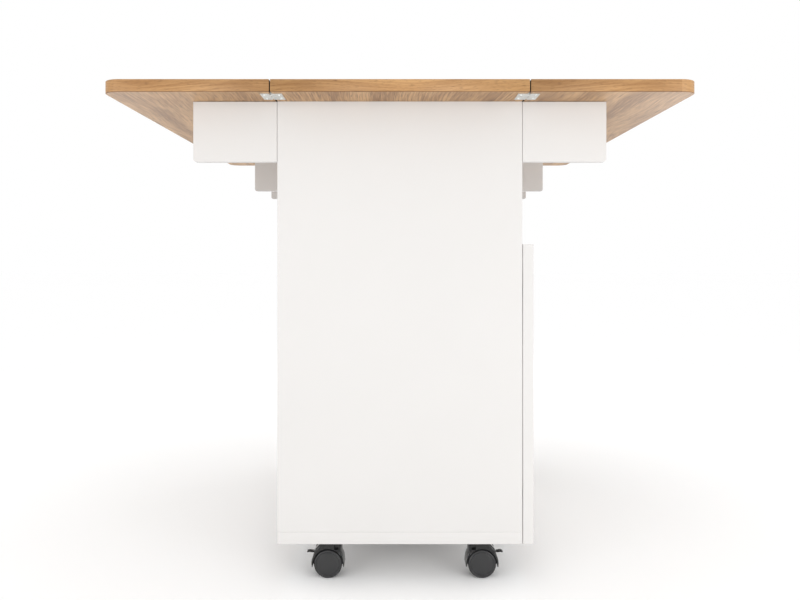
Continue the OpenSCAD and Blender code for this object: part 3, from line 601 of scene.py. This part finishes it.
def grooved_board(outline, grooved, low, high):
    """An eased board whose profile follows the groove on the marked points: inset = r cos f - seam half
    and height = groove axis + r sin f, from the underside up to the seam face."""
    rings = eased_board(outline, low, high, EDGE_EASE, EDGE_STEPS)
    first = math.asin((low - groove_z) / GROOVE_RADIUS)
    last = math.acos(seam_half / GROOVE_RADIUS)
    f = np.linspace(first, last, EDGE_STEPS + 1)[:, None]
    lower = slice(0, EDGE_STEPS + 1)
    inset = GROOVE_RADIUS * np.cos(f) - seam_half
    plan = outline[grooved] + inset[..., None] * mitres(outline)[grooved]
    rings[lower, grooved, :2] = plan
    rings[lower, grooved, 2] = groove_z + GROOVE_RADIUS * np.sin(f)
    return rings


def top_outline():
    """The middle board: square corners, a seam edge at the front and one at the back."""
    front, marks = seam_edge(top_low[1])
    back = front[::-1] * (1, -1)
    corners = np.array([(top_low[0], top_low[1]), (top_high[0], top_low[1]), (top_high[0], top_high[1]),
                        (top_low[0], top_high[1])])
    outline = np.concatenate([corners[:1], front, corners[1:3], back, corners[3:]])
    grooved = np.concatenate([[False], marks, [False] * 2, marks[::-1], [False]])
    return outline, grooved


def leaf_outline(side):
    """A leaf, at the front for side -1 and at the back for 1: two outer arcs and an inner seam edge."""
    radii = [LEAF_CORNER, LEAF_CORNER, LEAF_INNER_CORNER, LEAF_INNER_CORNER]
    outer = rounded_outline(leaf_low[:2], leaf_high[:2], radii, steps=24)
    half = len(outer) // 2
    inner, marks = seam_edge(leaf_high[1])
    square = np.array([(leaf_high[0], leaf_high[1]), (leaf_low[0], leaf_high[1])])
    outline = np.concatenate([outer[:half], square[:1], inner[::-1], square[1:]])
    grooved = np.concatenate([[False] * (half + 1), marks[::-1], [False]])
    if side > 0:
        outline, grooved = outline[::-1] * (1, -1), grooved[::-1]
    return outline, grooved


print("outline points: middle board", len(top_outline()[0]), "and leaf", len(leaf_outline(-1)[0]))

# %% [markdown]
# ## Edge bands
# The foil covers the level faces only. The upright edges carry a glued band with a finer grain. Its lower
# rounding gets a darker copy of the band as painted shade. The faces across each seam are near black, as
# painted shade for the shade inside the seam gap.

# %% Edge bands
# Least share of a unit normal along z on a level face, and along z or y on one that leans
LEVEL, LEANING = 0.95, 0.3
SEAM_MARGIN = 0.4 * MM


def band_edges(piece):
    """Numbers each face's material: 0 is the foil on level faces, 1 the edge band, 2 painted shade of the
    seam gap on faces beside a seam that point across it, and 3 painted shade, a darker band, on the lower
    rounding."""
    faces = piece.data.polygons
    normal, centre = np.empty(len(faces) * 3), np.empty(len(faces) * 3)
    faces.foreach_get("normal", normal)
    faces.foreach_get("center", centre)
    normal, centre = normal.reshape(-1, 3), centre.reshape(-1, 3)
    slope = normal[:, 2]
    # Faces across a seam get the near-black painted shade of the seam gap
    from_seam = np.abs(np.abs(centre[:, 1]) - top_high[1] - seam_half)
    in_seam = (from_seam < seam_half + SEAM_MARGIN) & (np.abs(normal[:, 1]) > LEANING)
    # Faces that lean downwards are the band's lower rounding, which gets the painted shade
    lower = (slope < -LEANING) & (slope > -LEVEL)
    kinds = np.select([in_seam, np.abs(slope) > LEVEL, lower], [2, 0, 3], 1)
    for material in (oak_band, seam_gap_shade, band_rim_painted_shade):
        piece.data.materials.append(material)
    faces.foreach_set("material_index", kinds.astype(np.int32))


# Painted shade: the faces across each seam get a near-black finish that stands for the shade inside the
# seam gap
seam_gap_shade = moulded_plastic("painted_seam_shade", "#2B221C", "#1F1814", 0.6, 0.8 * MM)
worktop_plans = [("worktop_board", "top_panel", top_outline()),
                 ("leaf_board_front", "leaf_front", leaf_outline(-1)),
                 ("leaf_board_back", "leaf_back", leaf_outline(1))]
for name, node, plan in worktop_plans:
    band_edges(make_piece(name, [grooved_board(*plan, top_low[2], top_high[2])], oak, node))
print("worktop pieces:", [name for name, node, plan in worktop_plans])

# %% [markdown]
# ## Parts that keep their CAD shape
# Doors and drawer boxes have pockets and hollows that the CAD already holds exactly. A copy of that
# mesh is merged, its flat areas are joined into single faces, and a Bevel modifier rounds its long
# edges. The short edges of small holes are left out, because a bevel would close them up.

# %% Bevelled copies
SAME_POINT = 0.005 * MM
FLAT_ANGLE = math.radians(0.5)
SHARP_ANGLE = math.radians(35)
BEVEL_ANGLE = math.radians(40)


def eased_copy(node, material, width, shortest, segments=3):
    """A merged copy of a CAD node: edges over shortest metres that turn by over 40 degrees are bevelled."""
    mesh = frame["nodes"][node].data.copy()
    shape = bmesh.new()
    shape.from_mesh(mesh)
    bmesh.ops.remove_doubles(shape, verts=shape.verts, dist=SAME_POINT)
    bmesh.ops.dissolve_limit(shape, angle_limit=FLAT_ANGLE, verts=shape.verts, edges=shape.edges)
    weights = shape.edges.layers.float.new("bevel_weight_edge")
    for edge in shape.edges:
        if edge.calc_length() > shortest and edge.calc_face_angle(0) > BEVEL_ANGLE:
            edge[weights] = 1.0
    shape.to_mesh(mesh)
    shape.free()
    mesh.set_sharp_from_angle(angle=SHARP_ANGLE)
    piece = place_piece(node + "_eased", mesh, material, [node])
    bevel = piece.modifiers.new("eased_edges", "BEVEL")
    bevel.limit_method = "WEIGHT"
    bevel.width = width
    bevel.segments = segments
    bevel.use_clamp_overlap = False
    bevel.harden_normals = True


for node in ["door_near", "door_far"]:
    eased_copy(node, white, 1.0 * MM, 15 * MM)
for node in ["drawer_box_wide", "drawer_box_narrow"]:
    eased_copy(node, drawer_white, 0.6 * MM, 10 * MM)

# %% [markdown]
# ## Turned pieces
# A turned piece is a radius that changes along an axis, as on a lathe. Handles, wheels, axles and the
# cutters for bores are all made this way. Bars and axles get a quarter-round at each end.

# %% Turned pieces
def turned(profile, start, axis, count=40):
    """point(u, v) = start + along(v) axis + radius(v) (cos u side + sin u up), for rows (along, radius)."""
    profile, start, axis = (np.array(value, float) for value in (profile, start, axis))
    side = np.roll(axis, 1)
    up = np.cross(axis, side)
    u = np.linspace(0, 2 * math.pi, count, endpoint=False)
    circle = np.cos(u)[:, None] * side + np.sin(u)[:, None] * up
    return start + profile[:, :1, None] * axis + profile[:, 1:, None] * circle


def round_ended(length, radius, ease, steps=5):
    """Profile of a round-ended bar: along = ease (1 - cos t), reach = radius - ease (1 - sin t)."""
    t = np.linspace(0, math.pi / 2, steps + 1)
    along = ease * (1 - np.cos(t))
    reach = radius - ease * (1 - np.sin(t))
    return np.concatenate([np.stack([along, reach], 1), np.stack([length - along, reach], 1)[::-1]])


print("a round-ended bar has", len(round_ended(0.1, 0.005, 0.001)), "profile rows")

# %% [markdown]
# ## Bar handles
# A handle is a bar on two posts. The posts flare into a small foot where they meet the board, and the
# screws that hold them come through from the back of it. The bars are brushed along their length.

# %% Handles
BAR_RADIUS = 5 * MM
BAR_END_EASE = 1.5 * MM
POST_FROM_END = 16 * MM
# Rows in mm: place along the post, from the board, and its radius; height and radius of a screw head
POST_RADIUS = 4.0
FOOT_FLARE = [(-3.0, POST_RADIUS), (-1.6, 4.3), (-0.8, 5.0), (-0.3, 5.4), (0, 5.4)]
SCREW_HEAD = [(-0.05, 1.5), (0, 2.8), (0.5, 2.8), (0.9, 2.5), (1.15, 1.9), (1.22, 1.0)]


def bar_handle(node, material, board):
    """The bar, two posts with flared feet before the board, and the heads of their two screws behind it."""
    low, high = corner_arrays(node)
    board_face, board_back = (corner[1] for corner in corner_arrays(board))
    axis = np.array([0, 0, 1.0]) if high[2] - low[2] > high[0] - low[0] else np.array([1.0, 0, 0])
    length = (high - low) @ axis
    middle = (low + high) / 2
    bar_y = low[1] + BAR_RADIUS
    start = np.array([middle[0], bar_y, middle[2]]) - axis * length / 2
    parts = [turned(round_ended(length, BAR_RADIUS, BAR_END_EASE), start, axis)]
    reach = (board_face - bar_y) / MM
    post = [(0, POST_RADIUS)] + [(reach + step, wide) for step, wide in FOOT_FLARE]
    for offset in (POST_FROM_END, length - POST_FROM_END):
        foot = start + axis * offset
        parts.append(turned(np.array(post) * MM, foot, (0, 1, 0)))
        back = foot.copy()
        back[1] = board_back
        parts.append(turned(np.array(SCREW_HEAD) * MM, back, (0, 1, 0), 24))
    make_piece(node + "_turned", parts, material, node)


for node in ["door_handle_near", "door_handle_far"]:
    bar_handle(node, nickel_upright, "door_near")
for node in ["drawer_handle_wide", "drawer_handle_narrow"]:
    bar_handle(node, nickel_level, "drawer_front_wide")
door_face = corner_arrays("door_near")[0][1]
bar_front = corner_arrays("door_handle_near")[0][1]
print("handles stand off their boards by", round((door_face - bar_front) / MM), "mm")

# %% [markdown]
# ## Twin wheels
# Each wheel is turned about its axle: a tread with soft shoulders, a fine groove a few millimetres
# inside the rim, and a flat face. The groove and the shoulder catch the light as two thin rings.

# %% Wheels
# Half the gap between the two wheels, where the hood's web stands, and the axle through them
WEB_HALF = 5.5 * MM
AXLE_LENGTH = 30 * MM
AXLE_RADIUS = 4 * MM
AXLE_END_EASE = 0.3 * MM


def wheel_profile():
    """Rows (along the axle, radius) in metres: hub side, tread, shoulder arc, groove, domed face."""
    t = np.linspace(0, math.pi / 2, 7)
    shoulder = np.stack([14.2 + 2.6 * np.sin(t), 23.4 + 2.6 * np.cos(t)], 1)
    inner = [(0, 4.0), (0, 24.5), (0.45, 25.6), (1.5, 26.0)]
    ring = [(16.8, 22.4), (16.3, 22.0), (15.9, 21.7), (16.3, 21.3), (16.8, 21.0)]
    face = [(16.95, 20.0), (17.0, 17.0), (17.0, 0.5)]
    return np.concatenate([inner, shoulder, ring, face]) * MM


for node in [n for n in body_of_node if n.startswith("wheels_")]:
    low, high = corner_arrays(node)
    centre = (low + high) / 2
    axle = round_ended(AXLE_LENGTH, AXLE_RADIUS, AXLE_END_EASE, 2)
    parts = [turned(axle, centre - (AXLE_LENGTH / 2, 0, 0), (1, 0, 0), 32)]
    for side in (-1, 1):
        parts.append(turned(wheel_profile(), centre + (side * WEB_HALF, 0, 0), (side, 0, 0), 96))
    make_piece(node + "_turned", parts, wheel_plastic, node)
print("wheel profile rows:", len(wheel_profile()))

# %% [markdown]
# ## Caster hoods
# A hood is one glossy moulding: a swivel neck, and an arched shell over both wheels that thins to two
# points. Its broad round edges are what shines. Everything is drawn once in the caster's own frame,
# in mm: x across, y outwards from the axle, z up. These functions give its curves and its solids.

# %% Hood curves and solids
# Height of the axle over the floor
WHEEL_AXIS = 26.0


def smooth_path(points, steps=4):
    """Catmull-Rom curve: from b to c it is the cubic that leaves along c - a and arrives along d - b."""
    points = np.array(points, float)
    p = np.concatenate([2 * points[:1] - points[1:2], points, 2 * points[-1:] - points[-2:-1]])
    a, b, c, d = (p[i:len(p) - 3 + i, None] for i in range(4))
    t = np.linspace(0, 1, steps, endpoint=False)[None, :, None]
    square, cube = 2 * a - 5 * b + 4 * c - d, 3 * b - a - 3 * c + d
    curve = b + 0.5 * ((c - a) * t + square * t ** 2 + cube * t ** 3)
    return np.concatenate([curve.reshape(-1, points.shape[1]), points[-1:]])


def prism(outline, low, high, mouth=0.0):
    """A cutter: the outline carried along x from low to high, wider by mouth over its last millimetre."""
    outline = np.array(outline, float)
    wide = outline - mouth * mitres(outline)
    rows = [(low, outline), (high - np.sign(high - low), outline), (high, wide)]
    return np.stack([np.column_stack([np.full(len(outline), x), plan]) for x, plan in rows])


def domed_solid(outline, half, ease, bulge, steps=41):
    """point(u, t) = outline(u) + inset(t) mitre(u) + bulge(u) (1 - cos t) along y, at x = half sin t. The
    inset is a quarter circle of radius ease at both faces. The bulge makes the back round in plan."""
    t = np.linspace(-math.pi / 2, math.pi / 2, steps)
    x = half * np.sin(t)
    near_face = np.clip((np.abs(x) - half) / ease + 1, 0, 1)
    inset = ease * (1 - np.sqrt(1 - near_face ** 2))
    plan = outline + inset[:, None, None] * mitres(outline)
    plan[..., 0] += (1 - np.cos(t))[:, None] * bulge
    return np.concatenate([np.broadcast_to(x[:, None, None], plan.shape[:2] + (1,)), plan], 2)


def arc(radius, start, end, count=49):
    """Points of a circle round the wheel axis, from start to end degrees."""
    t = np.radians(np.linspace(start, end, count))
    return np.stack([radius * np.cos(t), WHEEL_AXIS + radius * np.sin(t)], 1)


print("a smooth path through 3 points has", len(smooth_path([(0, 0), (1, 1), (2, 0)])), "points")

# %% [markdown]
# ## The hood's outline
# The hood starts as a solid whose edges are rounded by 4 mm. Its outline runs up the outer side, over
# the neck and down the back, and ends under the skirt. The back bulges from nothing at a height of
# 34 mm to 6 mm at 47 mm, which makes the neck round in plan.

# %% Hood outline
# Half width of the hood, and how much its edges are rounded
HOOD_HALF = 22.0
HOOD_EASE = 4.0
hood_outer = smooth_path([(30.5, 20.6), (30.9, 27), (30.2, 33), (28.6, 38.2), (26.6, 43.6), (25.0, 48.3),
                          (23.6, 52.6), (20.5, 57)])
hood_back = smooth_path([(-25.6, 55), (-25.6, 51), (-25.7, 46.5), (-26.4, 42.5), (-27.6, 37.7), (-28.5, 32),
                         (-29.2, 27), (-29.6, 23), (-29.8, 20.6)])
hood_outline = np.concatenate([[(30.2, 8)], hood_outer, [(12.3, 66), (-25.6, 66)], hood_back, [(-29.4, 8)]])
hood_bulge = np.interp(hood_outline[:, 1], [34, 38, 42, 47], [0, 1.5, 3.5, 6]) * (hood_outline[:, 0] < 0)
hood_solid = domed_solid(hood_outline, HOOD_HALF, HOOD_EASE, hood_bulge)
print("hood outline points:", hood_solid.shape[1])

# %% [markdown]
# ## The hood's cutters
# Everything below the skirt, two wheel wells, two side recesses and the bores for stem and axle are cut
# out of the solid. On braked casters the lever's slot and the bore for its pin are cut as well.

# %% Hood cutters
# Height where the skirt ends, and the distance from the axle back to the swivel axis
SKIRT_END = 20.6
TRAIL = 17.6
# Wells: their radius, the x of their inner and outer end, and how much their mouth widens
WELL_RADIUS = 27.6
WELL_INNER, WELL_OUTER = 5, 22.6
WELL_MOUTH = 0.8
# Recess in each side of the neck: depth in x, and lowest and highest corner in y and z
RECESS_INNER, RECESS_OUTER = 15, 23
RECESS_LOW, RECESS_HIGH = (-19.7, 52.6), (-11.8, 63.5)
# Radii of the bores for the swivel stem, the axle and the brake pin, a little wider than what they hold
STEM_BORE = 5.2
AXLE_BORE = 4.2
PIN_BORE = 1.7
# Height where the stem's bore starts, and half the length of the pin's
STEM_BORE_START = 52.5
PIN_BORE_HALF = 12.4
# Brake: y and z of its pin, and half width of its slot
BRAKE_PIVOT = (15.5, 54.5)
SLOT_HALF = 5.8
well = np.concatenate([arc(WELL_RADIUS, -2, 182), [(-28.6, 20), (-28.6, 6), (28.6, 6), (28.6, 20)]])
recess = [RECESS_LOW, (RECESS_HIGH[0], RECESS_LOW[1]), RECESS_HIGH, (RECESS_LOW[0], RECESS_HIGH[1])]
below = [(-40, 0), (40, 0), (40, SKIRT_END), (-40, SKIRT_END)]
# The slot's lower edge is an arc just inside the wells, and the rest of it lies outside the hood
brake_slot = np.concatenate([arc(WELL_RADIUS - 0.2, 65, 26, 12), [(41.6, 38), (41.6, 68), (11.6, 68)]])
stem_bore = turned([(0, STEM_BORE), (30, STEM_BORE)], (0, -TRAIL, STEM_BORE_START), (0, 0, 1), 32)
axle_bore = turned([(0, AXLE_BORE), (20, AXLE_BORE)], (-10, 0, WHEEL_AXIS), (1, 0, 0), 32)
pin_bore = turned([(0, PIN_BORE), (2 * PIN_BORE_HALF, PIN_BORE)],
                  (-PIN_BORE_HALF, *BRAKE_PIVOT), (1, 0, 0), 24)
hood_cutters = [prism(well, side * WELL_INNER, side * WELL_OUTER, WELL_MOUTH) for side in (-1, 1)]
hood_cutters += [prism(recess, side * RECESS_INNER, side * RECESS_OUTER) for side in (-1, 1)]
hood_cutters += [prism(below, -30, 30), stem_bore, axle_bore]
brake_cutters = [prism(brake_slot, -SLOT_HALF, SLOT_HALF), pin_bore]
print("cutters:", len(hood_cutters), "and on braked casters", len(brake_cutters), "more")

# %% [markdown]
# ## Carving and placing the hoods
# An exact Boolean takes the cutters away one after another and is applied at once, so the finished
# piece is a plain mesh. A Weighted Normal modifier keeps the flat faces flat beside the round edges.

# %% Carve and place hoods
HOOD_SHARP_ANGLE = math.radians(30)


def carved(name, body, cutters):
    """The mesh of the body less each cutter in turn."""
    thing = bpy.data.objects.new(name, join_skins(name, [body]))
    bpy.context.scene.collection.objects.link(thing)
    for rings in cutters:
        tool = bpy.data.objects.new("cutter", join_skins("cutter", [rings]))
        bpy.context.scene.collection.objects.link(tool)
        cut = thing.modifiers.new("cut", "BOOLEAN")
        cut.operation = "DIFFERENCE"
        cut.solver = "EXACT"
        cut.object = tool
        result = bpy.data.meshes.new_from_object(thing.evaluated_get(bpy.context.evaluated_depsgraph_get()))
        thing.modifiers.clear()
        thing.data = result
        bpy.data.objects.remove(tool)
    mesh = thing.data
    bpy.data.objects.remove(thing)
    mesh.name = name
    return mesh


def to_caster(rings, wheel_node):
    """Carries points from the caster's own frame in mm to its place: outwards is away from the middle."""
    low, high = corner_arrays(wheel_node)
    centre = (low + high) / 2
    rings = np.asarray(rings, float)
    return centre + (rings - (0, 0, WHEEL_AXIS)) * (1, np.sign(centre[1]), 1) * MM


for node in [n for n in body_of_node if n.startswith("hood_")]:
    wheel_node = node.replace("hood", "wheels")
    cutters = hood_cutters + (brake_cutters if "near" in node else [])
    cutters = [to_caster(rings, wheel_node) for rings in cutters]
    mesh = carved(node, to_caster(hood_solid, wheel_node), cutters)
    mesh.shade_smooth()
    mesh.set_sharp_from_angle(angle=HOOD_SHARP_ANGLE)
    piece = place_piece(node + "_carved", mesh, nylon, [node])
    piece.modifiers.new("flat_faces", "WEIGHTED_NORMAL").keep_sharp = True
    print(node, "faces:", len(mesh.polygons))

# %% [markdown]
# ## Brake levers
# Each lever is a slim curved paddle that is pressed down with a toe. It is a rounded section carried
# along a path: it leaves its pin, dips through the slot of the hood, levels out and ends in a soft
# beak. Both ends are closed by an ellipse, over the last tenth of the path.

# %% Brake levers
lever_path = smooth_path([(13.4, 56.2), (15.5, 54.5), (20.5, 50), (25, 45.5), (28, 43.5), (31.5, 43.3),
                          (35.5, 43.9), (38.5, 43.3), (40.6, 42.2)], 6)
lever_stations = np.linspace(0, 1, len(lever_path))


def paddle(path, half_width, half_thickness, count=40):
    """point(s, u) = path(s) + width(s) c(u) across + thickness(s) d(u) normal, where c and d are the cosine
    and sine raised to a small power, so that the section is a rectangle with round corners."""
    along = np.gradient(path, axis=0)
    along /= np.linalg.norm(along, axis=1, keepdims=True)
    normal = np.stack([-along[:, 1], along[:, 0]], 1)
    u = np.linspace(0, 2 * math.pi, count, endpoint=False)
    c = np.sign(np.cos(u)) * np.abs(np.cos(u)) ** 0.45
    d = np.sign(np.sin(u)) * np.abs(np.sin(u)) ** 0.6
    across = half_width[:, None] * c
    plane = path[:, None] + (half_thickness[:, None] * d)[..., None] * normal[:, None]
    return np.concatenate([across[..., None], plane], 2)


# The cap is 1 along the middle and falls to nearly nothing at both ends; the width keeps 0.35 of itself
CAP_LENGTH = 0.2
past_middle = np.clip(np.abs(lever_stations - 0.5) * 2 - (1 - CAP_LENGTH), 0, CAP_LENGTH - 0.001)
end_cap = np.sqrt(1 - past_middle ** 2 / CAP_LENGTH ** 2)
lever_width = np.interp(lever_path[:, 0], [28.0, 33.5], [5.1, 5.5]) * (0.35 + 0.65 * end_cap)
lever_thickness = np.interp(lever_path[:, 0], [15.0, 20.0, 34.0], [2.9, 1.8, 1.5]) * end_cap
PIN_RADIUS = 1.5
PIN_HALF = 12
lever_rings = paddle(lever_path, lever_width, lever_thickness)
lever_pin = turned([(0, PIN_RADIUS), (2 * PIN_HALF, PIN_RADIUS)], (-PIN_HALF, *BRAKE_PIVOT), (1, 0, 0), 24)
for node in ["brake_lever_front", "brake_lever_back"]:
    wheel_node = node.replace("brake_lever", "wheels_near")
    parts = [to_caster(rings, wheel_node) for rings in (lever_rings, lever_pin)]
    make_piece(node + "_curved", parts, nylon, node)
print("lever reaches", round(float(lever_rings[..., 1].max()), 1), "mm outwards from the axle")

# %% [markdown]
# ## Metal fittings
# Hinges, cups, arms and caster plates are pressed from zinc-plated sheet. Their CAD shapes are right,
# so they are copies whose edges get the slight roundness that tumbling gives to pressed parts.

# %% Metal fittings
SHEET_PARTS = ("wing_", "leaf_wings_", "leaf_hinge_bases", "bracket_hinge_bases", "hinge_arms")
THICK_PARTS = ("hinge_cups_", "caster_plates")
for node in body_of_node:
    if node.startswith(SHEET_PARTS):
        eased_copy(node, zinc, 0.3 * MM, 8 * MM, segments=2)
    if node.startswith(THICK_PARTS):
        eased_copy(node, zinc, 0.5 * MM, 8 * MM, segments=2)

# %% [markdown]
# ## What stays as it came
# Runner channels, slides, shelf pins and assembly screws keep their CAD meshes. They are thin pressed
# or turned steel, seen only with a drawer or door open, and need a finish and no new shape.

# %% Finish for the remaining nodes
for node, thing in frame["nodes"].items():
    if not thing.hide_render:
        thing.data.materials.clear()
        thing.data.materials.append(zinc)
        print("kept:", node)
